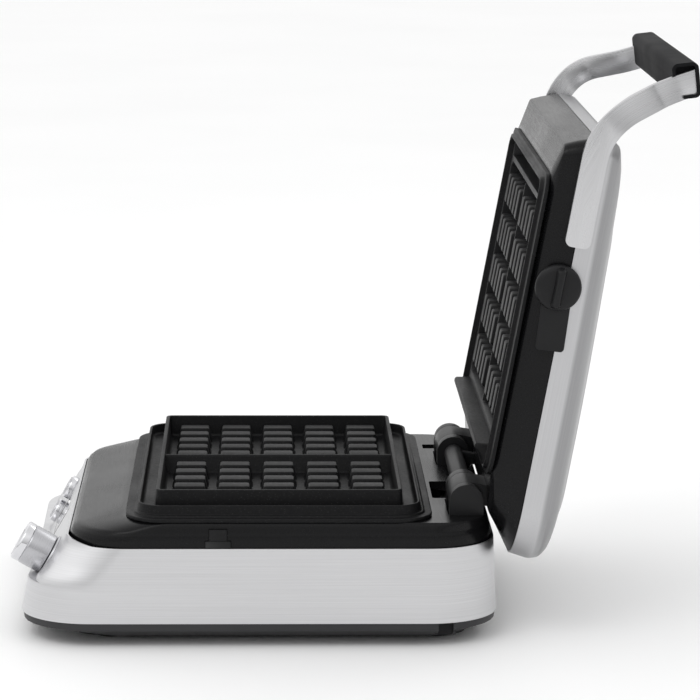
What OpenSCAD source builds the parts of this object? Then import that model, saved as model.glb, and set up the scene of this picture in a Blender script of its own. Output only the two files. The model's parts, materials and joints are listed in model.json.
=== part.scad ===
/* [Base] */
// Width of the base, side to side, where the steel band meets the tray
base_w = 372; // [360:1:384]
// Depth of the base, front to back, where the steel band meets the tray
base_d = 380; // [374:1:388]
// Corner radius of the base, seen from above
base_r = 56; // [48:1:60]
// Height of the lower edge of the steel band above the table
band_z0 = 19; // [17:1:21]
// Height of the upper edge of the steel band at the sides and the back
band_z1 = 78.5; // [78:0.5:79.5]
// Thickness of the steel sheet
sheet_t = 1.5; // [1:0.1:1.6]
// Height of the black deck that the lower plate lies on
deck_z = 98; // [97.8:0.1:98.1]

/* [Control panel] */
// Slope of the control panel from the horizontal, in degrees
panel_slope = 60; // [58:1:62]
// Height of the ledge below the control panel
ledge_z = 40.5; // [40:0.5:42]
// Diameter of the selector knob
knob_d = 33; // [28:0.5:33]
// How far the selector knob stands out of the panel
knob_h = 28; // [26:0.5:31]
// Diameter of the chrome ring round each push button
ring_d = 20.5; // [19:0.5:21]
// How far each push button travels
button_travel = 2; // [1:0.5:2]

/* [Cooking plates] */
// Width of the waffle bed of the lower plate, over its walls
bed_w = 307; // [303:1:308]
// Depth of the waffle bed of the lower plate, over its walls
bed_d = 195.4; // [192:0.2:196]
// Height of the rim of the waffle bed above the table
bed_z = 119.6; // [118.6:0.1:119.6]
// Pockets of one waffle along its width
pockets_x = 5; // [4:1:6]
// Pockets of one waffle along its depth
pockets_y = 5; // [4:1:6]
// Height of the studs that press the pockets
stud_h = 12; // [9:1:13]
// Width of the groove between two studs
groove = 7.5; // [6:0.5:9]

/* [Lid] */
// Angle between the closed and the open lid, in degrees
open_angle = 100.4; // [90:0.2:100.4]
// Distance between the two handle arms where they lie on the lid
arms_w = 366; // [366:1:368]
// Length of the handle's grip over its end rims
grip_l = 290; // [286:1:294]
// Width of each aluminium handle arm
arm_w = 20; // [16:1:22]
// Thickness of each aluminium handle arm
arm_t = 5.5; // [4:0.5:7]
// Diameter of the height dial on the side of the lid
dial_d = 36.5; // [32:0.5:38]

/* [Hidden] */
$fn = 48;
hull_fn = 32;
eps = 0.01;

// The origin is the middle of the base's footprint, on the table; the controls face -Y.
base_x = base_w / 2;
base_y = base_d / 2;

// Rubber feet
foot_x = 140;
foot_y = [-118, 142];
foot_r = 12;
foot_h = 4;

// Control panel: its upper edge, and the slope's run for each millimetre of height
panel_top = [0, -153.3, 82];
panel_run = 1 / tan(panel_slope);
panel_len = (panel_top[2] - ledge_z) / sin(panel_slope);
knob_x = 112;
knob_s = -29.5;
button_x = -72;
button_s = [-12.3, -35.3];
window_x = [-50, 14];
window_s = [-38, -10];
board_depth = 14;

// Upper edge of the drip tray's walls, which stays below the open lid as the tray slides out
tray_top = 57;

// Hinge axis, and the closed lid's own levels
hinge_y = 164;
hinge_z = 109;
pin_r = 4;
hinge_shift = 46;
lug_x = [101, 138];
tower_in = [88, 100.6];
tower_out = [138.4, 149];
lug_r = 13.5;
barrel_arms = [-30, 62];
plate_face_z = 118.5;
split_z = 150;

// Handle bolts, along Y and above the split between frame and cover
bolt_y = [-70, -108];
bolt_z = 155;

// Plan of the lower plate: half width, front edge and rear edge of each step
bed_mid_y = 15.5;
bed_x = bed_w / 2;
bed_y0 = bed_mid_y - bed_d / 2;
bed_y1 = bed_mid_y + bed_d / 2;
moat_w = 14.5;
flange_w = 9;
flange_z = [deck_z, 101];
moat_z = 110;
floor_z = 101.5;
divider = 10;

// Plan of the upper plate
upper_x = 149;
upper_y0 = -78;
upper_y1 = 108;
upper_floor_z = 131;

// Height dial's axis on the side of the closed lid, and the turn of its plate's tab
dial_at = [0, -22.9, 142.4];
tab_turn = 3.5;

// Side release buttons: middle along Y, half width, and half width of the thumb wedge
release_y = -32.5;
release_half = 7;
thumb_half = 10;

// ---- helpers ----

// Rounded rectangle between two corners
module rounded(x0, x1, y0, y1, r) {
    translate([x0 + r, y0]) square([x1 - x0 - 2 * r, y1 - y0]);
    translate([x0, y0 + r]) square([x1 - x0, y1 - y0 - 2 * r]);
    for (x = [x0 + r, x1 - r])
        for (y = [y0 + r, y1 - r])
            translate([x, y]) circle(r);
}

// Rounded slab, symmetric about X = 0
module slab(half_x, y0, y1, r, z0, z1) {
    translate([0, 0, z0])
        linear_extrude(z1 - z0)
            rounded(-half_x, half_x, y0, y1, r);
}

// Rounded wall that follows the outside of a slab
module wall(half_x, y0, y1, r, z0, z1, t) {
    difference() {
        slab(half_x, y0, y1, r, z0, z1);
        slab(half_x - t, y0 + t, y1 - t, max(r - t, 1), z0 - 1, z1 + 1);
    }
}

// Smooth shell body through sections [half_x, y0, y1, rear r, z, front r], drawn in by inset
module loft(sections, inset = 0) {
    hull()
        for (s = sections)
            for (x = [-1, 1]) {
                front_r = len(s) > 5 ? s[5] : s[3];
                translate([x * (s[0] - s[3]), s[2] - s[3], s[4]])
                    cylinder(r = s[3] - inset, h = 0.02, $fn = hull_fn);
                translate([x * (s[0] - front_r), s[1] + front_r, s[4]])
                    cylinder(r = front_r - inset, h = 0.02, $fn = hull_fn);
            }
}

// Box between two corners
module block(a, b) {
    translate(a) cube(b - a);
}

// Prism along X over the full width, with its outline in Y and Z
module prism_x(points, half_x = 300) {
    translate([-half_x, 0, 0])
        rotate([90, 0, 90])
            linear_extrude(2 * half_x)
                polygon(points);
}

// Cylinder along X between two positions
module rod_x(x0, x1, r) {
    translate([x0, 0, 0]) rotate([0, 90, 0]) cylinder(r = r, h = x1 - x0);
}

// Both sides of the object
module both_sides() {
    children();
    mirror([1, 0, 0]) children();
}

// Both halves of the hinge; the left one stands further in
module both_hinges() {
    children();
    translate([hinge_shift, 0, 0]) mirror([1, 0, 0]) children();
}

// A place on the control panel: x across, s up the slope from its upper edge, z outwards
module on_panel(x, s) {
    translate([x, panel_top[1], panel_top[2]])
        rotate([panel_slope, 0, 0])
            translate([0, s, 0])
                children();
}

// A ring or disc with a hole, standing on z0
module ring(r, hole, z0, z1) {
    difference() {
        translate([0, 0, z0]) cylinder(r = r, h = z1 - z0);
        translate([0, 0, z0 - 1]) cylinder(r = hole, h = z1 - z0 + 2);
    }
}

// At the hinge axis
module at_hinge() {
    translate([0, hinge_y, hinge_z]) children();
}

// The lid is drawn closed and turned open about the hinge
module opened() {
    at_hinge() rotate([-open_angle, 0, 0]) translate([0, -hinge_y, -hinge_z]) children();
}

// ---- base ----

band_sections = [
    [base_x, -base_y, base_y, base_r, band_z0],
    [base_x - 2, -182.7, base_y - 1.8, base_r - 2, 48],
    [base_x - 4, panel_top[1], base_y - 3.4, base_r - 4, 82.02]
];

// Space in front of the control panel and above the ledge; depth moves it into the sheet
module panel_recess(depth = 0) {
    back = depth / sin(panel_slope);
    low = ledge_z - depth;
    prism_x([
        [-230, low],
        [panel_top[1] + back - (panel_top[2] - low) * panel_run, low],
        [panel_top[1] + back + 10 * panel_run, panel_top[2] + 10],
        [-230, panel_top[2] + 10]
    ]);
}

// Space above the band's upper edge, which drops from the panel to the sides
module above_band() {
    prism_x([[-153, 82.3], [-132, band_z1], [230, band_z1], [230, 110], [-153, 110]]);
}

module base_steel_band() {
    color("silver")
        difference() {
            loft(band_sections);
            panel_recess();
            above_band();
            difference() {
                loft([for (s = band_sections) [s[0], s[1], s[2], s[3], s[4] + (s[4] < 20 ? -1 : 1)]],
                     sheet_t);
                panel_recess(sheet_t);
            }
            on_panel(knob_x, knob_s) translate([0, 0, -8]) cylinder(r = 5, h = 16);
            for (s = button_s)
                on_panel(button_x, s) translate([0, 0, -8]) cylinder(r = ring_d / 2 - 1, h = 16);
            on_panel(0, 0)
                block([window_x[0], window_s[0], -8], [window_x[1], window_s[1], 8]);
            block([base_x - 7, 141, 18], [base_x + 7, 153, 24]);
            block([-97, 170, 25], [97, 200, tray_top + 1.5]);
            translate([-115, 170, 44]) rotate([-90, 0, 0]) cylinder(r = 8, h = 30);
        }
}

tray_sections = [
    [base_x - 0.8, -base_y + 0.8, base_y - 0.8, base_r - 0.8, band_z0 - 0.02],
    [base_x - 1.8, -base_y + 2, base_y - 2, base_r - 1.6, 13],
    [base_x - 20, -base_y + 46, base_y - 24, base_r - 16, 4]
];

module base_tray() {
    color("dimgray") {
        difference() {
            union() {
                loft(tray_sections);
                // cross bars that stand lower than the floor and hold the feet
                slab(150, -148, -100, 20, 1.2, 6);
                slab(150, 128, 164, 16, 1.2, 6);
            }
            translate([0, 0, 2.5]) loft(tray_sections, 2.5);
            block([160, 141, 3], [base_x + 5, 153, band_z0 + 1]);
            both_sides()
                for (y = foot_y) {
                    translate([foot_x, y, 0]) cylinder(r = 2.1, h = 20);
                    translate([foot_x, y, 0]) cylinder(r = foot_r, h = foot_h);
                }
        }
        // lining of the finger notch beside the rear foot
        difference() {
            block([158, 139, 6.6], [172, 155, 26]);
            block([160, 141, 3], [base_x + 5, 153, 24]);
        }
        // posts under the cross plate
        both_sides()
            difference() {
                translate([120, 156, 5]) cylinder(r = 7, h = 76);
                translate([120, 156, 60]) cylinder(r = 1.6, h = 30);
            }
        // runners under the drip tray
        both_sides() block([86, 102, 6], [94, 150, 26.95]);
        // pads round the four feet
        for (y = foot_y)
            both_sides()
                difference() {
                    translate([foot_x, y, 2]) cylinder(r = foot_r + 5, h = 5);
                    translate([foot_x, y, 0]) cylinder(r = 2.1, h = 20);
                    translate([foot_x, y, 0]) cylinder(r = foot_r, h = foot_h);
                }
    }
}

module rubber_feet() {
    color("black")
        both_sides()
            for (y = foot_y)
                difference() {
                    translate([foot_x, y, 0]) cylinder(r = foot_r, h = foot_h);
                    translate([foot_x, y, -1]) cylinder(r = 4, h = 3);
                    translate([foot_x, y, -1]) cylinder(r = 2.1, h = 8);
                }
}

module tray_screws() {
    color("gray")
        both_sides()
            for (y = foot_y)
                translate([foot_x, y, 0]) {
                    translate([0, 0, 0.8]) cylinder(r = 3.8, h = 1.2);
                    translate([0, 0, 0.8]) cylinder(r = 2, h = 12);
                }
}

housing_sections = [
    [base_x - 6, -150.8, base_y - 5.4, base_r - 6, 72],
    [base_x - 6.3, -150.5, base_y - 5.8, base_r - 6, 85],
    [base_x - 7.2, -146, base_y - 6.4, base_r - 8, 88.5],
    [base_x - 9, -108, base_y - 9, base_r - 16, deck_z - 0.02]
];

module base_top_housing() {
    color("#1c1c1e")
        difference() {
            union() {
                loft(housing_sections);
                // the front slope runs on a little above the deck
                prism_x([[-134, 91], [-112, 99.8], [-108, 99.8], [-108, 94]], 134);
            }
            difference() {
                translate([0, 0, -2.5]) loft(housing_sections, 2.5);
                // collar round the plate well
                difference() {
                    slab(169.5, -99.5, 131.5, 14, 84, 99);
                    slab(167, -97, 129, 12, 80, 110);
                }
            }
            slab(167, -97, 129, 12, 60, 110);
            // hinge pockets
            both_hinges() block([tower_in[0] - 0.4, 149.6, 80], [tower_out[1] + 0.4, 178.4, 110]);
            // drain opening over the drip tray, and the narrow slot at the other side
            block([22, 140, 80], [86, 158, 110]);
            block([-130, 141.5, 80], [-113, 157, 110]);
            // slot for the release button
            block([160, release_y - release_half - 0.3, 84], [190, release_y + release_half + 0.3, 93.7]);
            block([165, release_y - thumb_half - 0.3, 79.7], [190, release_y + thumb_half + 0.3, 84.6]);
        }
}

module cross_plate() {
    color("lightgray")
        difference() {
            slab(150, 150, 178, 6, 81, 84);
            both_sides() translate([120, 156, 60]) cylinder(r = 2.1, h = 30);
            both_hinges()
                for (x = [108, 131]) translate([x, 164, 60]) cylinder(r = 2, h = 30);
        }
}

// ---- lower plate and its heating ----

// One waffle's studs, between two X positions, pointing up from z
module studs(x0, x1, y0, y1, z, h) {
    pitch_x = (x1 - x0 - groove) / pockets_x;
    pitch_y = (y1 - y0 - groove) / pockets_y;
    for (i = [0 : pockets_x - 1])
        for (j = [0 : pockets_y - 1])
            translate([x0 + groove + i * pitch_x, y0 + groove + j * pitch_y, z])
                cube([pitch_x - groove, pitch_y - groove, h]);
}

module lower_plate() {
    m = moat_w;
    f = moat_w + flange_w;
    color("#2b2b2d")
        difference() {
            union() {
                slab(bed_x + f, bed_y0 - f, bed_y1 + f, 15, flange_z[0], flange_z[1]);
                slab(bed_x + m - 2, bed_y0 - m + 2, bed_y1 + m - 2, 10, flange_z[0] - 4, flange_z[1]);
                wall(bed_x + m, bed_y0 - m, bed_y1 + m, 12, flange_z[0], moat_z, 2.6);
                wall(bed_x, bed_y0, bed_y1, 6, flange_z[0], bed_z, 3.2);
                slab(bed_x - 1, bed_y0 + 1, bed_y1 - 1, 5, flange_z[0], floor_z);
                block([-divider / 2, bed_y0 + 1, flange_z[1]], [divider / 2, bed_y1 - 1, bed_z - 3]);
                for (side = [0, 1])
                    mirror([side, 0, 0])
                        studs(divider / 2, bed_x - 3.2, bed_y0 + 3.2, bed_y1 - 3.2, floor_z - 1, stud_h + 1);
                // rim of the drain lip at the back
                block([-30, bed_y1 + f - 2, flange_z[1] - 1], [128, bed_y1 + f, 103]);
            }
            // drain notch through the moat wall
            block([40, bed_y1 + 3, flange_z[1]], [68, bed_y1 + m + 3, moat_z - 6]);
            block([44, bed_y1 + f - 4, flange_z[1]], [64, bed_y1 + f + 2, 110]);
        }
}

// Heating tube: four long runs joined by bends, with two terminal ends
module heater_tube(z) {
    r = 3.2;
    bend = 36;
    runs = [-3 * bend, -bend, bend, 3 * bend];
    y0 = -48;
    y1 = 80;
    color("#8a8580") {
        for (x = runs)
            translate([x, y0, z]) rotate([-90, 0, 0]) cylinder(r = r, h = y1 - y0);
        for (x = [-2 * bend, 2 * bend])
            translate([x, y1, z]) rotate_extrude(angle = 180) translate([bend, 0]) circle(r - 0.1);
        translate([0, y0, z])
            rotate([0, 0, 180])
                rotate_extrude(angle = 180) translate([bend, 0]) circle(r - 0.1);
        for (x = [-3 * bend, 3 * bend])
            translate([x, y0 - 26, z]) rotate([-90, 0, 0]) cylinder(r = r * 0.7, h = 26.5);
    }
}

module lower_heater() {
    heater_tube(90.6);
}

// Shallow sheet pan; up is +1 for a pan open upwards, -1 for one open downwards
module reflector(half_x, y0, y1, z, up, depth) {
    z0 = up > 0 ? z : z - depth;
    inside = up > 0 ? [z0 + 1, z0 + depth + 1] : [z0 - 1, z0 + depth - 1];
    color("gainsboro")
        difference() {
            slab(half_x, y0, y1, 12, z0, z0 + depth);
            slab(half_x - 1, y0 + 1, y1 - 1, 11, inside[0], inside[1]);
        }
}

module lower_reflector() {
    reflector(160, -90, 122, 80, 1, 13.8);
}

module thermostat(z, up) {
    color("goldenrod")
        translate([72, 16, z])
            scale([1, 1, up]) {
                cylinder(r = 9, h = 6);
                translate([0, 0, -3]) cylinder(r = 6, h = 3 + eps);
            }
}

module lower_thermostat() {
    thermostat(87.9, 1);
}

// ---- controls ----

module control_board() {
    color("darkgreen")
        on_panel(0, 0)
            difference() {
                block([-100, -40, -board_depth - 1.6], [128, -6, -board_depth]);
                for (x = [-96, 124])
                    for (s = [-37, -9])
                        translate([x, s, -board_depth - 3]) cylinder(r = 1.6, h = 6);
            }
}

module display_window() {
    color("#101114")
        on_panel(0, 0)
            block([window_x[0], window_s[0], -2], [window_x[1], window_s[1], 0.3]);
}

module display_module() {
    color("darkslategray")
        on_panel(0, 0)
            block([window_x[0] + 3, window_s[0] + 3, -board_depth], [window_x[1] - 3, window_s[1] - 3, -2]);
}

module knob_encoder() {
    color("#3c3c40")
        on_panel(knob_x, knob_s)
            difference() {
                union() {
                    block([-8, -8, -board_depth], [8, 8, -3]);
                    translate([0, 0, -3 - eps]) cylinder(r = 4.8, h = 8);
                }
                translate([0, 0, -9]) cylinder(r = 3.05, h = 30);
            }
}

module knob_bezel() {
    color("#c9cacc")
        on_panel(knob_x, knob_s)
            ring(knob_d / 2 + 1.2, 5.2, 0, 2);
}

module selector_knob() {
    color("#d4d5d7")
        on_panel(knob_x, knob_s)
            difference() {
                translate([0, 0, 2.4]) cylinder(r = knob_d / 2, h = knob_h - 2.4 - 7);
                translate([0, 0, 2]) cylinder(r = 6, h = 5);
                translate([0, 0, 2]) cylinder(r = 3, h = 13);
            }
}

module knob_ring() {
    color("#eef0f2")
        on_panel(knob_x, knob_s)
            difference() {
                translate([0, 0, knob_h - 7]) cylinder(r = knob_d / 2, h = 7);
                translate([0, 0, knob_h - 0.8]) cylinder(r = knob_d / 2 - 1.6, h = 2);
            }
}

module knob_shaft() {
    color("#9a9ba0")
        on_panel(knob_x, knob_s)
            translate([0, 0, -8.5]) cylinder(r = 3, h = 23.5);
}

module button_bezels() {
    color("#eef0f2")
        for (s = button_s)
            on_panel(button_x, s) {
                ring(ring_d / 2, 8.6, 0, 5.2);
                ring(ring_d / 2 - 1, 8.6, -4, 0 + eps);
            }
}

module push_button(s) {
    color("#c4c5c8")
        on_panel(button_x, s) {
            translate([0, 0, -2]) cylinder(r = 8.4, h = 8.6);
            translate([0, 0, -7]) cylinder(r = 2.5, h = 5 + eps);
        }
}

module button_upper() {
    push_button(button_s[0]);
}

module button_lower() {
    push_button(button_s[1]);
}

module button_switches() {
    color("#2a2a2c")
        for (s = button_s)
            on_panel(button_x, s) block([-4, -4, -board_depth], [4, 4, -7.3 - button_travel]);
}

module power_board() {
    color("#1f4f35") {
        block([-70, -139, 18], [40, -85, 19.6]);
        block([-60, -130, 19.6 - eps], [-40, -106, 36]);
        block([-30, -132, 19.6 - eps], [0, -102, 44]);
        translate([24, -116, 19.6 - eps]) cylinder(r = 8, h = 20);
        for (x = [-66, 36])
            for (y = [-135, -89])
                translate([x, y, 6.5]) cylinder(r = 2.5, h = 11.5 + eps);
    }
}

module terminal_block() {
    color("ivory")
        difference() {
            block([-150, 104, 7], [-110, 122, 22]);
            for (x = [-143, -130, -117]) translate([x, 113, 12]) cylinder(r = 2.5, h = 12);
        }
}

module cord_gland() {
    color("#18181a")
        translate([-115, base_y - 1.1, 44])
            rotate([90, 0, 0])
                difference() {
                    union() {
                        translate([0, 0, -4]) cylinder(r = 10, h = 3.4);
                        translate([0, 0, -1]) cylinder(r = 8, h = 10);
                        translate([0, 0, 5.2]) cylinder(r = 10, h = 4);
                    }
                    translate([0, 0, -8]) cylinder(r = 3.6, h = 24);
                }
}

module drip_tray() {
    color("#242426") {
        difference() {
            block([-93, 98, 27], [93, base_y - 4, tray_top]);
            block([-90.5, 100.5, 29.5], [90.5, base_y - 6.5, 70]);
        }
        // front plate, flush with the back of the band, with a finger pull
        difference() {
            block([-96.5, base_y - 4 - eps, 25.5], [96.5, base_y - 1, tray_top + 1]);
            block([-30, base_y - 2.6, 36], [30, base_y + 4, 50]);
        }
    }
}

// ---- hinge ----

module hinge_brackets() {
    color("#202022")
        both_hinges()
            difference() {
                union() {
                    for (x = [tower_in, tower_out]) {
                        at_hinge() rod_x(x[0], x[1], lug_r);
                        block([x[0], hinge_y - lug_r, 84], [x[1], hinge_y + lug_r, hinge_z]);
                    }
                    block([tower_in[0], hinge_y - lug_r, 84], [tower_out[1], hinge_y + lug_r, 88]);
                }
                at_hinge() rod_x(tower_in[0] + 3, tower_out[1] - 3, pin_r);
                for (x = [108, 131]) translate([x, 164, 80]) cylinder(r = 2, h = 12);
            }
}

module hinge_pins() {
    color("lightgray")
        both_hinges()
            at_hinge() rod_x(tower_in[0] + 3, tower_out[1] - 3, pin_r);
}

module hinge_screws() {
    color("gray")
        both_hinges()
            for (x = [108, 131])
                translate([x, 164, 0]) {
                    translate([0, 0, 76]) cylinder(r = 2, h = 14);
                    translate([0, 0, 88]) cylinder(r = 3.6, h = 2.4);
                }
}

module lid_hinge_arms() {
    color("#202022")
        opened()
            both_hinges()
                difference() {
                    union() {
                        at_hinge() rod_x(lug_x[0], lug_x[1], lug_r);
                        block([lug_x[0], hinge_y - lug_r, hinge_z], [lug_x[1], hinge_y + 3, 132]);
                    }
                    at_hinge() rod_x(lug_x[0] - 2, lug_x[1] + 2, pin_r + 0.06);
                }
}

module hinge_barrel() {
    color("#39393c")
        opened()
            difference() {
                union() {
                    at_hinge() rod_x(hinge_shift - 84, 84, 8);
                    for (x = barrel_arms) block([x, hinge_y - 6, hinge_z], [x + 8, hinge_y + 3, 132]);
                }
                at_hinge() rod_x(hinge_shift - 86, 86, 5.5);
            }
}

// ---- lid ----

frame_sections = [
    [171, -108, 143, 14, 121.5, 12],
    [179.4, -132, 168, 30, 127, 10],
    [180.6, -136, 180, 40, 136, 11],
    [182, -141, 200, 48, split_z - 0.02, 12]
];

cover_sections = [
    [182.3, -141.3, 200.3, 48, split_z, 12],
    [182.3, -141.3, 203, 50, 166, 13],
    [178, -136, 201, 48, 174, 14],
    [168, -118, 194, 44, 180, 16],
    [140, -70, 168, 30, 184.98, 20]
];

module lid_frame() {
    color("#1c1c1e")
        opened()
            difference() {
                union() {
                    difference() {
                        loft(frame_sections);
                        translate([0, 0, 2.5]) loft(frame_sections, 2.5);
                    }
                    both_sides()
                        for (y = [-118, 150]) translate([150, y, 125]) cylinder(r = 5, h = 21);
                }
                both_sides()
                    for (y = [-118, 150]) translate([150, y, 128]) cylinder(r = 2, h = 30);
                slab(163, -103, 135, 12, 110, 130);
                // slot for the release button
                block([-184, release_y - release_half - 0.3, 137.6],
                      [-170, release_y + release_half + 0.3, 147.2]);
                both_hinges() block([lug_x[0], 150, 120], [lug_x[1], hinge_y + 3, 132]);
                for (x = barrel_arms) block([x, hinge_y - 6, 120], [x + 8, hinge_y + 3, 132]);
                translate(dial_at) rod_x(170, 190, 5.2);
            }
}

module lid_cover() {
    color("silver")
        opened()
            difference() {
                loft(cover_sections);
                translate([0, 0, -sheet_t]) loft(cover_sections, sheet_t);
                both_sides()
                    for (y = bolt_y) translate([0, y, bolt_z]) rod_x(175, 190, 2.5);
            }
}

module lid_screws() {
    color("gray")
        opened()
            both_sides()
                for (y = [-118, 150])
                    translate([150, y, 0]) {
                        translate([0, 0, 128.5]) cylinder(r = 2, h = 20);
                        translate([0, 0, 146]) cylinder(r = 4, h = 2.5);
                    }
}

module upper_plate() {
    color("#2b2b2d")
        opened() {
            difference() {
                union() {
                    slab(178, -106, 139.4, 15, plate_face_z, 121.5);
                    slab(162, -101, 134, 11, plate_face_z, 134);
                    wall(162, -101, 134, 11, 115.4, plate_face_z + 1, 2.4);
                }
                // land above the rim of the lower bed
                slab(158.5, -88, 118.5, 8, 114, 120);
                // trough along the front, above the front of the lower bed
                slab(150, -98.5, -84, 5, 110, 129);
                // waffle bed
                slab(upper_x, upper_y0, upper_y1, 6, 110, upper_floor_z);
            }
            // ramp along the back, which hangs into the lower plate's groove
            prism_x([
                [116, 119], [117, 107], [121, 107], [124.6, 110.8], [139, plate_face_z], [139, 120]
            ], 148);
            block([-divider / 2, upper_y0 - 1, 120], [divider / 2, upper_y1 + 1, upper_floor_z + 1]);
            for (side = [0, 1])
                mirror([side, 0, 0])
                    studs(divider / 2, upper_x, upper_y0, upper_y1, upper_floor_z - stud_h, stud_h + 1);
        }
}

module upper_heater() {
    opened() heater_tube(138.4);
}

module upper_reflector() {
    opened() reflector(158, -97, 130, 147, -1, 12.5);
}

module upper_thermostat() {
    opened() thermostat(140.6, -1);
}

// A handle arm seen from the side: straight up the lid, a bend, then a straight run to the grip
arm_start = [-124.6, 150.6];
arm_end = -56;
arm_bend_r = 52;
arm_turn = 61;
arm_run = 60;

// The same arm seen across its width: it steps inwards to the shorter grip
lean_turn = 50;
lean_from = 22;
lean_to = 90;
lean_r = 31.5;
lean_angle = 50;
tip_x = 137;

// The grip's middle and its turn in the plane of the lid's side
grip_at = [-194.8, 213.8];
grip_turn = 17;
grip_half = [14, 10.5];
grip_wall = 2.6;

// Points of an arc about centre, in steps fine enough to look round
function arc_points(centre, r, from, to, steps = 24) = [
    for (i = [0:steps]) centre + r * [cos(from + (to - from) * i / steps), sin(from + (to - from) * i / steps)]
];

// Strip of one width along the points of a path whose directions are known
module strip(path, directions, width) {
    last = len(path) - 1;
    side = [for (d = directions) width / 2 * [-sin(d), cos(d)]];
    polygon([for (i = [0:last]) path[i] + side[i], for (i = [last:-1:0]) path[i] - side[i]]);
}

// Directions of an arc's tangents, in the same steps
function arc_directions(from, to, steps = 24) = [for (i = [0:steps]) from + (to - from) * i / steps];

// Side outline: up the lid, round the bend, and straight on until it stops inside the grip's rim
module arm_outline() {
    bend = arc_points(arm_start + [0, arm_bend_r], arm_bend_r, -90, -90 - arm_turn);
    run = arm_run * [-cos(arm_turn), sin(arm_turn)];
    rounded(arm_start[0] + 10, arm_end, arm_start[1] - arm_w / 2, arm_start[1] + arm_w / 2, 5.5);
    intersection() {
        strip(
            concat([arm_start + [20, 0]], bend, [bend[len(bend) - 1] + run]),
            concat([180], arc_directions(180, 180 - arm_turn), [180 - arm_turn]),
            arm_w
        );
        translate(grip_at)
            rotate(grip_turn)
                translate([-200, -200]) square([400, 200 + grip_half[1] - grip_wall - 0.4]);
    }
}

// The strip that the arm follows: along it, and inwards to the shorter grip
module arm_lean() {
    start = [lean_from, arms_w / 2 + arm_t / 2];
    end = [lean_to, tip_x + arm_t / 2];
    strip(
        concat(
            [start - [100, 0]],
            arc_points(start - [0, lean_r], lean_r, 90, 90 - lean_angle),
            arc_points(end + [0, lean_r], lean_r, 270 - lean_angle, 270),
            [end + [60, 0]]
        ),
        concat([0], arc_directions(0, -lean_angle), arc_directions(-lean_angle, 0), [0]),
        arm_t
    );
}

// What the side outline and the strip have in common
module right_arm() {
    intersection() {
        translate([100, 0, 0]) rotate([90, 0, 90]) linear_extrude(100) arm_outline();
        multmatrix([
            [0, 1, 0, 0],
            [-cos(lean_turn), 0, sin(lean_turn), arm_start[0]],
            [sin(lean_turn), 0, cos(lean_turn), arm_start[1]],
            [0, 0, 0, 1]
        ])
            translate([0, 0, -80]) linear_extrude(170) arm_lean();
    }
}

module handle_arms() {
    color("#c9cbce")
        opened()
            both_sides()
                difference() {
                    right_arm();
                    for (y = bolt_y) translate([arms_w / 2 - 1, y, bolt_z]) rod_x(0, 3.5, 2.5);
                }
}

// The grip's section from x0 to x1, drawn in by inset
module grip_bar(x0, x1, inset = 0) {
    half = grip_half - [inset, inset];
    translate([x0, grip_at[0], grip_at[1]])
        rotate([90, 0, 90])
            linear_extrude(x1 - x0)
                rotate(grip_turn)
                    rounded(-half[0], half[0], -half[1], half[1], 5 - inset);
}

// A bar with a rim at each end, which wraps round the end of the arm
module handle_grip() {
    color("#2e2e30")
        opened()
            difference() {
                grip_bar(-grip_l / 2, grip_l / 2);
                both_sides() {
                    grip_bar(tip_x, grip_l, grip_wall);
                    right_arm();
                }
            }
}

module handle_bolts() {
    color("gray")
        opened()
            both_sides()
                for (y = bolt_y)
                    translate([0, y, bolt_z]) {
                        rod_x(180.7, arms_w / 2 + 2.5, 2.5);
                        rod_x(176.7, 180.7 + eps, 4);
                    }
}

module dial_plate() {
    color("#303033")
        opened()
            translate(dial_at)
                difference() {
                    union() {
                        rod_x(182.4, 185.6, dial_d / 2 - 2);
                        translate([182.4, 0, 0])
                            rotate([tab_turn, 0, 0])
                                rotate([90, 0, 90])
                                    linear_extrude(3.2)
                                        rounded(0, 50.5, -11.2, 11.2, 3);
                    }
                    rod_x(180, 190, 5.2);
                }
}

module height_dial() {
    color("#1d1d1f")
        opened()
            translate(dial_at)
                difference() {
                    union() {
                        rod_x(186, 192, dial_d / 2);
                        block([192 - eps, -dial_d / 2 + 2, -3], [199, dial_d / 2 - 2, 3]);
                    }
                    rod_x(185, 190, 3.5);
                }
}

module dial_spindle() {
    color("gray")
        opened()
            translate(dial_at) {
                rod_x(174, 190, 3.5);
                rod_x(172, 174 + eps, 8);
            }
}

// ---- release buttons ----

module base_release_button() {
    color("#29292b") {
        block([174, release_y - release_half, 84.3], [180, release_y + release_half, 93.4]);
        translate([0, release_y + thumb_half, 0])
            rotate([90, 0, 0])
                linear_extrude(2 * thumb_half)
                    polygon([[174, 80], [185, 80], [181.4, 84.3], [174, 84.3]]);
    }
}

module base_release_stem() {
    color("gray")
        block([170.5, release_y - 4, 86], [174, release_y + 4, 92]);
}

module lid_release_button() {
    color("#29292b")
        opened()
            block([-183.4, release_y - release_half, 138], [-176, release_y + release_half, 146.8]);
}

module lid_release_stem() {
    color("gray")
        opened()
            block([-176, release_y - 4, 139], [-168, release_y + 4, 145]);
}

base_tray();
rubber_feet();
base_steel_band();
base_top_housing();
tray_screws();
cross_plate();
lower_plate();
lower_heater();
lower_reflector();
lower_thermostat();
control_board();
display_window();
display_module();
knob_encoder();
knob_bezel();
button_bezels();
button_switches();
power_board();
terminal_block();
cord_gland();
drip_tray();
hinge_brackets();
hinge_pins();
hinge_screws();
selector_knob();
knob_ring();
knob_shaft();
button_upper();
button_lower();
base_release_button();
base_release_stem();
lid_frame();
lid_cover();
lid_screws();
lid_hinge_arms();
hinge_barrel();
upper_plate();
upper_heater();
upper_reflector();
upper_thermostat();
handle_arms();
handle_grip();
handle_bolts();
dial_plate();
height_dial();
dial_spindle();
lid_release_button();
lid_release_stem();
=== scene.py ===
import json
import math

import bmesh
import bpy
from mathutils import Matrix, Vector

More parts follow.
